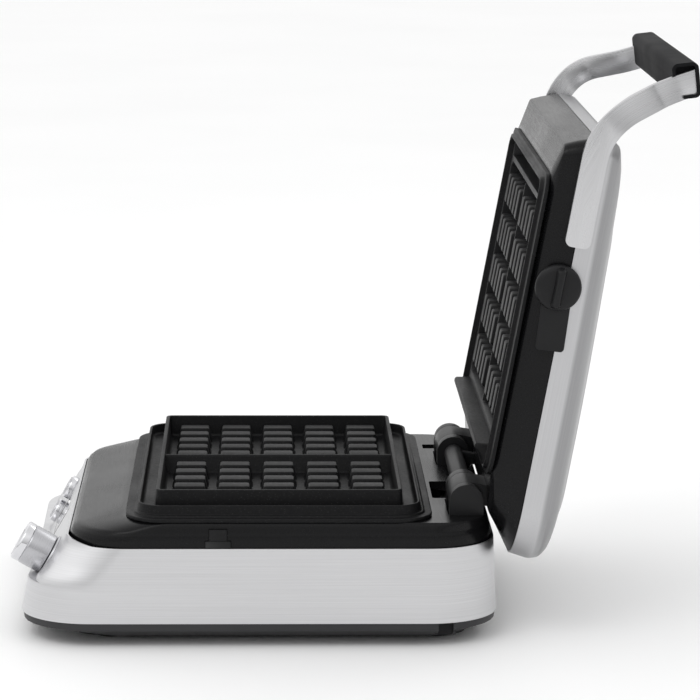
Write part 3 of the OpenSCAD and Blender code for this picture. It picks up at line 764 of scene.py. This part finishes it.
def build_lower_plate():
    """The cast plate: flange, double wall and groove, two fields of studs and the divider."""
    outline = fillet([
        (8, 94), (12.6, 94), (12.6, DECK + 0.02), (23.5, DECK + 0.02), (23.5, 101), (17.6, 101), (17.0, 102.6),
        (14.9, 102.8), (13.9, 110), (11.9, 110), (11.5, 102.4), (9.6, 101.2), (2.4, 101.2), (0.3, 102.6),
        (-0.3, 119.6), (-3.4, 119.6), (-4.6, 103.2), (-6.6, 101.5), (-9, 101.5),
    ], 1.1, 4)
    parts = [rows_to_mesh(grown_rings(153.5, -82.2, 113.2, 6, outline))]
    parts += stud_field(149.6, 5, -78.2, 109.2, 101.45, 113.5)
    flank = [(4.6, 101.4), (3.2, 103), (2.5, 114.6), (1.7, 115.9), (0.6, 116.3)]
    divider = [(-x, z) for x, z in flank] + flank[::-1]
    parts.append(rows_to_mesh([[(x, y, z) for x, z in divider] for y in (-79.5, 110.5)]))
    piece("lower_plate_cast", *joined(parts), "base", "nonstick", ["lower_plate"], angle=44)


# ---------------------------------------------------------------- panel pieces

def corner_arc(centre_a, centre_b, r, start, steps=6):
    """Points of a quarter circle from the start angle on, both ends included."""
    turns = [math.radians(start + 90 * i / steps) for i in range(steps + 1)]
    return [(centre_a + r * math.cos(a), centre_b + r * math.sin(a)) for a in turns]


def build_knob():
    """The selector knob's body with its face disc, its chrome front ring and its flange."""
    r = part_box("knob_ring")[1].x * 1000 - KNOB.x
    front = r - 0.5
    top = 28.0
    seam = top - 7
    shell = fillet([(0, 2.4), (front, 2.4), (r, 3.0), (r, seam - 0.9), (front, seam - 0.2), (front, seam),
                    (0, seam)], 0.4, 3)
    v, f, uv = lathe(shell, KNOB, PANEL_OUT, PANEL_UP)
    disc_r = r - 3.8
    disc = fillet([(0, top - 3), (disc_r, top - 3), (disc_r, top - 0.6), (0, top - 0.5)], 0.3, 3)
    disc_v, disc_f, disc_uv = lathe(disc, KNOB, PANEL_OUT, PANEL_UP)
    piece("knob_body", *joined([(v, f), (disc_v, disc_f)]), "knob", "knob_metal", ["selector_knob"],
          uv + disc_uv, angle=30)
    rim = fillet([(0, seam), (r - 0.4, seam), (r, top - 6.5), (r, top - 1.4), (r - 0.9, top - 0.1), (r - 2.0, top),
                  (r - 3.0, top - 0.7), (0, top - 1.1)], 0.5, 4)
    v, f, uv = lathe(rim, KNOB, PANEL_OUT, PANEL_UP)
    piece("knob_front_ring", v, f, "knob", "chrome", ["knob_ring"], uv, angle=30)
    flange = fillet([(5.4, 0.0), (r + 1.2, 0.0), (r + 1.2, 0.5), (r + 0.4, 1.8), (5.4, 2.0)], 0.5, 4)
    v, f, uv = lathe_ring(flange, KNOB, PANEL_OUT, PANEL_UP)
    piece("knob_flange", v, f, "base", "knob_metal", ["knob_bezel"], uv, angle=30)


def build_buttons():
    """The two push buttons and the chrome rings they move in."""
    collar = fillet([(8.6, -4), (9.25, -4), (9.25, 0), (10.25, 0), (10.25, 4.2), (9.8, 5.2), (8.9, 5.0),
                     (8.6, 4.2)], 0.35, 3)
    cap = fillet([(0, -7), (2.5, -7), (2.5, -2), (8.3, -2), (8.35, -1.4), (8.35, 5.4), (7.8, 6.3), (6.4, 6.4),
                  (4.0, 6.15), (0, 6.0)], 0.5, 4)
    collars, collar_uvs = [], []
    for (node, at), body in zip(BUTTONS.items(), ("start_button", "mode_button")):
        v, f, uv = lathe_ring(collar, at, PANEL_OUT, PANEL_UP)
        collars.append((v, f))
        collar_uvs += uv
        v, f, uv = lathe(cap, at, PANEL_OUT, PANEL_UP)
        piece(node + "_cap", v, f, body, "knob_metal", [node], uv, angle=30)
    piece("button_rings", *joined(collars), "base", "chrome", ["button_bezels"], collar_uvs, angle=30)


def build_window():
    """The window pane with a thin raised frame. Its large faces stay flat."""
    corner_r = 1.4
    corners = ((-49.8, -37.8, 1, 1, 180), (13.8, -37.8, -1, 1, 270),
               (13.8, -10.2, -1, -1, 0), (-49.8, -10.2, 1, -1, 90))
    rows = []
    for inset, out in ((0.1, -2), (0.0, -0.1), (0.25, 0.22), (0.6, 0.3), (1.4, 0.3), (1.6, 0.12)):
        row = []
        for x, s, dx, ds, start in corners:
            step = inset + corner_r
            row += [panel(a, b, out) for a, b in corner_arc(x + dx * step, s + ds * step, corner_r, start)]
        rows.append(row)
    pane = piece("display_pane", *rows_to_mesh(rows), "base", "glass_black", ["display_window"], angle=34)
    for face in pane.data.polygons:
        face.use_smooth = len(face.vertices) <= 4


# ---------------------------------------------------------------- lid

FRAME = [
    (171, -108, 143, 14, 121.5, 12),
    (179.4, -132, 168, 30, 127, 10),
    (180.6, -136, 180, 40, 136, 11),
    (182, -141, 200, 48, 150, 12),
]
COVER = [
    (182.3, -141.3, 200.3, 48, 150, 12),
    (182.3, -141.3, 203, 50, 166, 13),
    (178, -136, 201, 48, 174, 14),
    (168, -118, 194, 44, 180, 16),
    (140, -70, 168, 30, 185, 20),
]


def smooth_section(sections, z, spread=1.6):
    """Section at height z with the corners between sections eased, and never outside them."""
    total = [0.0] * 6
    for k in (-1, -0.5, 0, 0.5, 1):
        s = between(sections, min(max(z + k * spread, sections[0][4]), sections[-1][4]))
        total = [a + b / 5 for a, b in zip(total, s)]
    return total


def build_lid_frame():
    """The lid's black frame, drawn with the lid closed and then moved to the open lid."""
    def ring(z, inset=0.0, z_at=None):
        half, y0, y1, r1, _, r0 = smooth_section(FRAME, z, 0.4)
        points = plan(half - inset, y0 + inset, y1 - inset, r1 - inset, max(r0 - inset, 2),
                      SHELL_STEPS, SHELL_STEPS)
        return [(facet(x, y, z, inset), y, z if z_at is None else z_at) for x, y in points]

    def facet(x, y, z, inset):
        """The sides lean out from the plate to a crease that drops away towards the hinge."""
        crease = 131 + 11 * ease((y + 130) / 330)
        limit = 182 - inset - 8 * max(0.0, 1 - (z - 121.5) / (crease - 121.5))
        return math.copysign(min(abs(x), limit), x)

    rows = []
    for grow, z in ((0, 126), (0, 122.2), (1, 121.6)):
        points = plan(163 + grow, -103 - grow, 135 + grow, 12, 12, SHELL_STEPS, SHELL_STEPS)
        rows.append([(x, y, z) for x, y in points])
    for z in (121.5, 122.5, 124, 125.4, 126.3, 127, 128, 130, 133, 136, 139, 142, 145, 148, 149.4):
        rows.append(ring(z))
    rows += [ring(150, inset, 149.9) for inset in (0.5, WALL)]
    rows += [ring(z, WALL + 0.1) for z in (140, 134, 129.5)]
    obj = piece("lid_bezel", *ring_mesh(rows), "lid", "gloss_black", ["lid_frame"], angle=30)
    cutters = [
        box_mesh((-186, -39.8, 137.6), (-170, -25.2, 147.2)),
        box_mesh((HINGE_SHIFT - 138, 150.4, 118), (HINGE_SHIFT - 101, 167, 133)),
        box_mesh((101, 150.4, 118), (138, 167, 133)),
        box_mesh((-30, 158, 118), (-22, 167, 133)),
        box_mesh((62, 158, 118), (70, 167, 133)),
    ]
    cutters.append(pin(5.2, 20, DIAL + Vector((180, 0, 0)), (1, 0, 0), (0, 0, 1), 32))
    cut(obj, cutters)
    for v in obj.data.vertices:
        v.co = Vector(opened(v.co * 1000)) * MM
    obj.data.update()


def build_lid_cover():
    """The brushed steel cover of the lid, as an outer and an inner skin that meet at its rim."""
    def ring(z, inset=0.0, drop=0.0):
        half, y0, y1, r1, _, r0 = smooth_section(COVER, z)
        points = plan(half - inset, y0 + inset, y1 - inset, r1 - inset, r0 - inset, SHELL_STEPS, SHELL_STEPS)
        return [(x, y, thinner(y, z - drop)) for x, y in points]

    def thinner(y, z):
        """The cover grows a little thinner from the hinge to the front."""
        return z - 0.13 * max(0.0, z - 152) * ease((100 - y) / 240)

    levels = [150, 150.4, 154, 158, 162, 164.5, 166.5, 168, 169.5, 171, 172.5, 174, 175.5, 177, 178.5, 180, 181.2,
              182.3, 183.3, 184.1, 184.7, 185]
    rows = [ring(z) for z in levels]
    half, y0, y1, r1, _, r0 = COVER[-1]
    middle = (y0 + y1) / 2
    for k in (0.7, 0.4, 0.12):
        cap = [(x * k, (y - middle) * k + middle) for x, y in plan(half, y0, y1, r1, r0, SHELL_STEPS, SHELL_STEPS)]
        rows.append([(x, y, thinner(y, 184.99)) for x, y in cap])
    n = len(rows[0])
    verts, faces = rows_to_mesh(rows, False, True)
    inner = [ring(z, 1.5, SHEET if z > 170 else 0) for z in levels[:-6]]
    inner_verts, inner_faces = rows_to_mesh(inner, False, True)
    base = len(verts)
    faces += [tuple(reversed([i + base for i in face])) for face in inner_faces]
    faces += [(j, base + j, base + (j + 1) % n, (j + 1) % n) for j in range(n)]
    piece("lid_steel_shell", verts + inner_verts, faces, "lid", "steel", ["lid_cover"], angle=50, to_open=True)


def upper_edges(grow):
    """Front and rear edge of the upper plate's outline, grown from its bed: its rim lies further out."""
    rim = min(max(grow / 9, 0.0), 1.0)
    beyond = max(grow - 13, 0.0)
    near = grow - beyond
    return (max(-78 - near - beyond * 15 / 16 - 10 * rim, -106),
            min(108 + near + beyond * 0.15 + 13 * rim, 139.4))


def build_upper_plate():
    """The upper cast plate: rim, trough, two fields of studs, divider and the ramp at its rear."""
    half, corner_r, front = 149, 6, -78
    trough_z, trough_depth = 120, 9
    outline = fillet([
        (21, 134), (13, 134), (13, 122), (24.5, 121.5), (29, 121.5), (29, 118.5), (14.2, 118.5), (13, 115.4),
        (10.8, 115.4), (9.8, 120), (9.2, 120), (9.0, 120), (8.6, 120), (8.4, 120), (3.4, 120), (3.2, 120),
        (2.8, 120), (2.6, 120), (1.4, 120), (0.4, 120.4), (-1.4, 129.6), (-3.4, 131), (-6, 131),
    ], 1.0, 4)[1:]
    rows = []
    for g, z in outline:
        y0, y1 = upper_edges(g)
        r = max(corner_r + g * 0.4, 2)
        deep = 0
        if abs(z - trough_z) < 0.1:
            deep = trough_depth * ease((9.1 - g) / 0.5) * ease((g - 2.7) / 0.5)
        ring = plan(half + g, y0, y1, r, r, 60, 10)
        rows.append([(x, y, z + deep * ease((half - abs(x)) / 5) * (y < front)) for x, y in ring])
    parts = [rows_to_mesh(rows)]
    parts += stud_field(half, 5, front, 108, 131.05, 119)
    flank = [(4.8, 131.2), (3.2, 129), (2.3, 121.6), (1.2, 120.4)]
    divider = [(-x, z) for x, z in flank] + flank[::-1]
    parts.append(rows_to_mesh([[(x, y, z) for x, z in divider] for y in (-77.5, 107.5)]))
    ramp = fillet([(114.8, 120.4), (116.6, 108.2), (118.2, 107.1), (120.8, 107.1), (124.4, 110.8),
                   (139, 118.7)], 1.6, 4)
    ramp.append((139, 120.4))
    foot = 118.4
    ends = ((148, 0.0), (147.2, 0.35), (146, 0.75), (144, 1.0))
    rows = []
    for x, k in [(-x, k) for x, k in ends] + list(reversed(ends)):
        rows.append([(x, y, foot + (z - foot) * k if z < foot else z) for y, z in ramp])
    parts.append(rows_to_mesh(rows))
    piece("upper_plate_cast", *joined(parts), "lid", "nonstick", ["upper_plate"], angle=44, to_open=True)


# ---------------------------------------------------------------- handle, dial and buttons

ARM_END = -56.0
ARM_START = (-124.6, 150.6)
ARM_BEND_R, ARM_TURN, ARM_RUN = 52.0, math.radians(61), 60.0
BEND_STEPS, RUN_STEPS = 40, 30


def arm_line():
    """Centre line of an arm, drawn with the lid closed, as (y, z, direction, run)."""
    y, z = ARM_START
    turn, run = 0.0, ARM_END - y
    out = [(ARM_END, z, turn, 0.0), (y, z, turn, run)]
    step = ARM_TURN / BEND_STEPS
    for _ in range(BEND_STEPS):
        turn += step
        y -= ARM_BEND_R * step * math.cos(turn - step / 2)
        z += ARM_BEND_R * step * math.sin(turn - step / 2)
        run += ARM_BEND_R * step
        out.append((y, z, turn, run))
    step = ARM_RUN / RUN_STEPS
    for _ in range(RUN_STEPS):
        y -= step * math.cos(turn)
        z += step * math.sin(turn)
        run += step
        out.append((y, z, turn, run))
    return out


def arm_uv(p, line):
    """Distance along an arm and across it, in metres, of a point of the closed lid in mm."""
    if p[0] > ARM_START[0]:
        return ((ARM_END - p[0]) * MM, (p[1] - ARM_START[1]) * MM)
    y, z, turn, run = min(line[1:], key=lambda s: (s[0] - p[0]) ** 2 + (s[1] - p[1]) ** 2)
    across = (p[0] - y) * math.sin(turn) + (p[1] - z) * math.cos(turn)
    return (run * MM, across * MM)


def closed(p):
    """A point of the open lid, in mm, moved back to where the closed lid holds it."""
    x, y, z = p[0], p[1] - HINGE.y, p[2] - HINGE.z
    c, s = math.cos(OPEN), math.sin(OPEN)
    return (x, HINGE.y + c * y - s * z, HINGE.z + s * y + c * z)


def build_handle():
    """The two arms, brushed along their length, and the grip, whose ends are open to the arms."""
    arms = refined("handle_arms", 0.9, 3)
    line = arm_line()
    places = [arm_uv(closed(v.co * 1000)[1:], line) for v in arms.data.vertices]
    layer = arms.data.uv_layers.new(name="UVMap")
    for loop in arms.data.loops:
        layer.data[loop.index].uv = places[loop.vertex_index]
    grip = refined("handle_grip", 0.8, 3, look=GRIP_PLASTIC)
    y, z, turn, _ = line[-1]
    along, out = (math.cos(turn), -math.sin(turn)), (math.sin(turn), math.cos(turn))
    cutters = []
    for ends in ((-146, -142.4), (142.4, 146)):
        corners = [opened((x, y + a * along[0] + b * out[0], z + a * along[1] + b * out[1]))
                   for x in ends for a, b in ((45, -10), (22, -10), (22, 10), (45, 10))]
        cutters.append((corners, BOX_FACES))
    cut(grip, cutters)


def build_dial():
    """The domed dial with its finger ridge, and the tab that carries it."""
    dome = fillet([(0, 186), (17.2, 186), (18.25, 187), (18.25, 188.8), (17.4, 190.6), (14.5, 192.0), (9, 192.8),
                   (0, 193.1)], 1.4, 5)
    v, f, _ = lathe(dome, DIAL, (1, 0, 0), (0, 0, 1))
    ridge = []
    for x, half_y, half_z in ((191.6, 16.6, 4.4), (193, 16.2, 3.9), (196.5, 15.4, 3.1), (198.2, 14.6, 2.6),
                              (198.9, 13.4, 1.7)):
        r = half_z * 0.9
        ring = []
        for sy, sz, start in ((1, 1, 0), (-1, 1, 90), (-1, -1, 180), (1, -1, 270)):
            ring += corner_arc(DIAL.y + sy * (half_y - r), DIAL.z + sz * (half_z - r), r, start)
        ridge.append([(x, y, z) for y, z in ring])
    parts = [(v, f), rows_to_mesh(ridge)]
    piece("dial_cap", *joined(parts), "dial", "dark_plastic", ["height_dial"], angle=34, to_open=True)
    refined("dial_plate", 0.9, 3)


def build_small():
    """Pieces that only need their edges rounded, each with the width and steps of the rounding."""
    edges = (("hinge_brackets", 0.9, 3), ("lid_hinge_arms", 0.9, 3), ("hinge_barrel", 0.5, 2),
             ("base_release_button", 0.5, 2), ("lid_release_button", 0.5, 2), ("rubber_feet", 0.6, 2),
             ("cord_gland", 0.5, 2), ("drip_tray", 0.6, 2), ("base_tray", 0.35, 2))
    for node, width, steps in edges:
        refined(node, width, steps)


build_band()
build_housing()
build_lower_plate()
build_knob()
build_buttons()
build_window()
build_lid_frame()
build_lid_cover()
build_upper_plate()
build_handle()
build_dial()
build_small()

# ---------------------------------------------------------------- floor, light and camera

def pale(n):
    n.colour(n.ramp(n.noise(n.place((2, 2, 2)), 1.0, 2.0), [(0.3, grey(0.93)), (0.7, grey(0.95))]))
    n.set(rough=0.55)


def floor():
    """A wide pale floor just under the feet."""
    me = bpy.data.meshes.new("floor")
    me.from_pydata([(x, y, -0.0003) for y in (-30, 30) for x in (-30, 30)], [], [(0, 1, 3, 2)])
    me.materials.append(material("floor_pale", pale))
    obj = bpy.data.objects.new("floor", me)
    bpy.context.scene.collection.objects.link(obj)


def area(name, at, aim, size, power):
    data = bpy.data.lights.new(name, "AREA")
    data.energy, data.size = power, size
    obj = bpy.data.objects.new(name, data)
    obj.location = at
    obj.rotation_euler = (Vector(aim) - Vector(at)).to_track_quat("-Z", "Y").to_euler()
    bpy.context.scene.collection.objects.link(obj)


def camera():
    """Looks at the machine from its side and a little from above."""
    at = (2.7626, 0.0025, 0.692)
    pitch, yaw, roll = math.radians(10), math.radians(1.5), math.radians(0.3)
    fwd = Vector((-math.cos(pitch) * math.cos(yaw), math.cos(pitch) * math.sin(yaw), -math.sin(pitch)))
    right = Vector((math.sin(yaw), math.cos(yaw), 0))
    up = right.cross(fwd)
    r = right * math.cos(roll) + up * math.sin(roll)
    u = up * math.cos(roll) - right * math.sin(roll)
    data = bpy.data.cameras.new("camera")
    data.sensor_width = 36
    data.lens = 173.8286
    data.clip_end = 50
    obj = bpy.data.objects.new("camera", data)
    obj.matrix_world = Matrix([(r[i], u[i], -fwd[i], at[i]) for i in range(3)] + [(0, 0, 0, 1)])
    bpy.context.scene.collection.objects.link(obj)
    bpy.context.scene.camera = obj


def sky():
    """Soft studio light: bright overhead and on the left side, darker low down and to the rear."""
    w = bpy.data.worlds.new("studio")
    w.use_nodes = True
    nt = w.node_tree
    coord = nt.nodes.new("ShaderNodeTexCoord")
    split = nt.nodes.new("ShaderNodeSeparateXYZ")
    nt.links.new(coord.outputs["Generated"], split.inputs[0])
    up = nt.nodes.new("ShaderNodeValToRGB")
    for pos, grey in ((0.0, 0.62), (0.5, 0.62), (0.62, 0.95), (0.8, 1.35), (1.0, 1.3)):
        e = up.color_ramp.elements.new(pos)
        e.color = (grey, grey, grey, 1)
    up.color_ramp.elements.remove(up.color_ramp.elements[0])
    up.color_ramp.elements.remove(up.color_ramp.elements[-1])
    half = nt.nodes.new("ShaderNodeMapRange")
    half.inputs["From Min"].default_value = -1
    nt.links.new(split.outputs["Z"], half.inputs["Value"])
    nt.links.new(half.outputs[0], up.inputs[0])
    level = up.outputs[0]
    for axis, low, high in (("X", 1.1, 1.02), ("Y", 1.0, 0.7)):
        side = nt.nodes.new("ShaderNodeMapRange")
        side.inputs["From Min"].default_value = -1
        side.inputs["To Min"].default_value, side.inputs["To Max"].default_value = low, high
        nt.links.new(split.outputs[axis], side.inputs["Value"])
        scale = nt.nodes.new("ShaderNodeVectorMath")
        scale.operation = "SCALE"
        nt.links.new(level, scale.inputs[0])
        nt.links.new(side.outputs[0], scale.inputs["Scale"])
        level = scale.outputs[0]
    nt.links.new(level, nt.nodes["Background"].inputs[0])
    nt.nodes["Background"].inputs[1].default_value = 1.0
    bpy.context.scene.world = w


floor()
sky()
bpy.context.scene.view_settings.view_transform = "Standard"
area("key", (1.5, -1.0, 2.4), (0, 0, 0.15), 1.2, 9)
area("rim", (-1.2, 1.6, 1.8), (0, 0, 0.2), 1.2, 5)
camera()
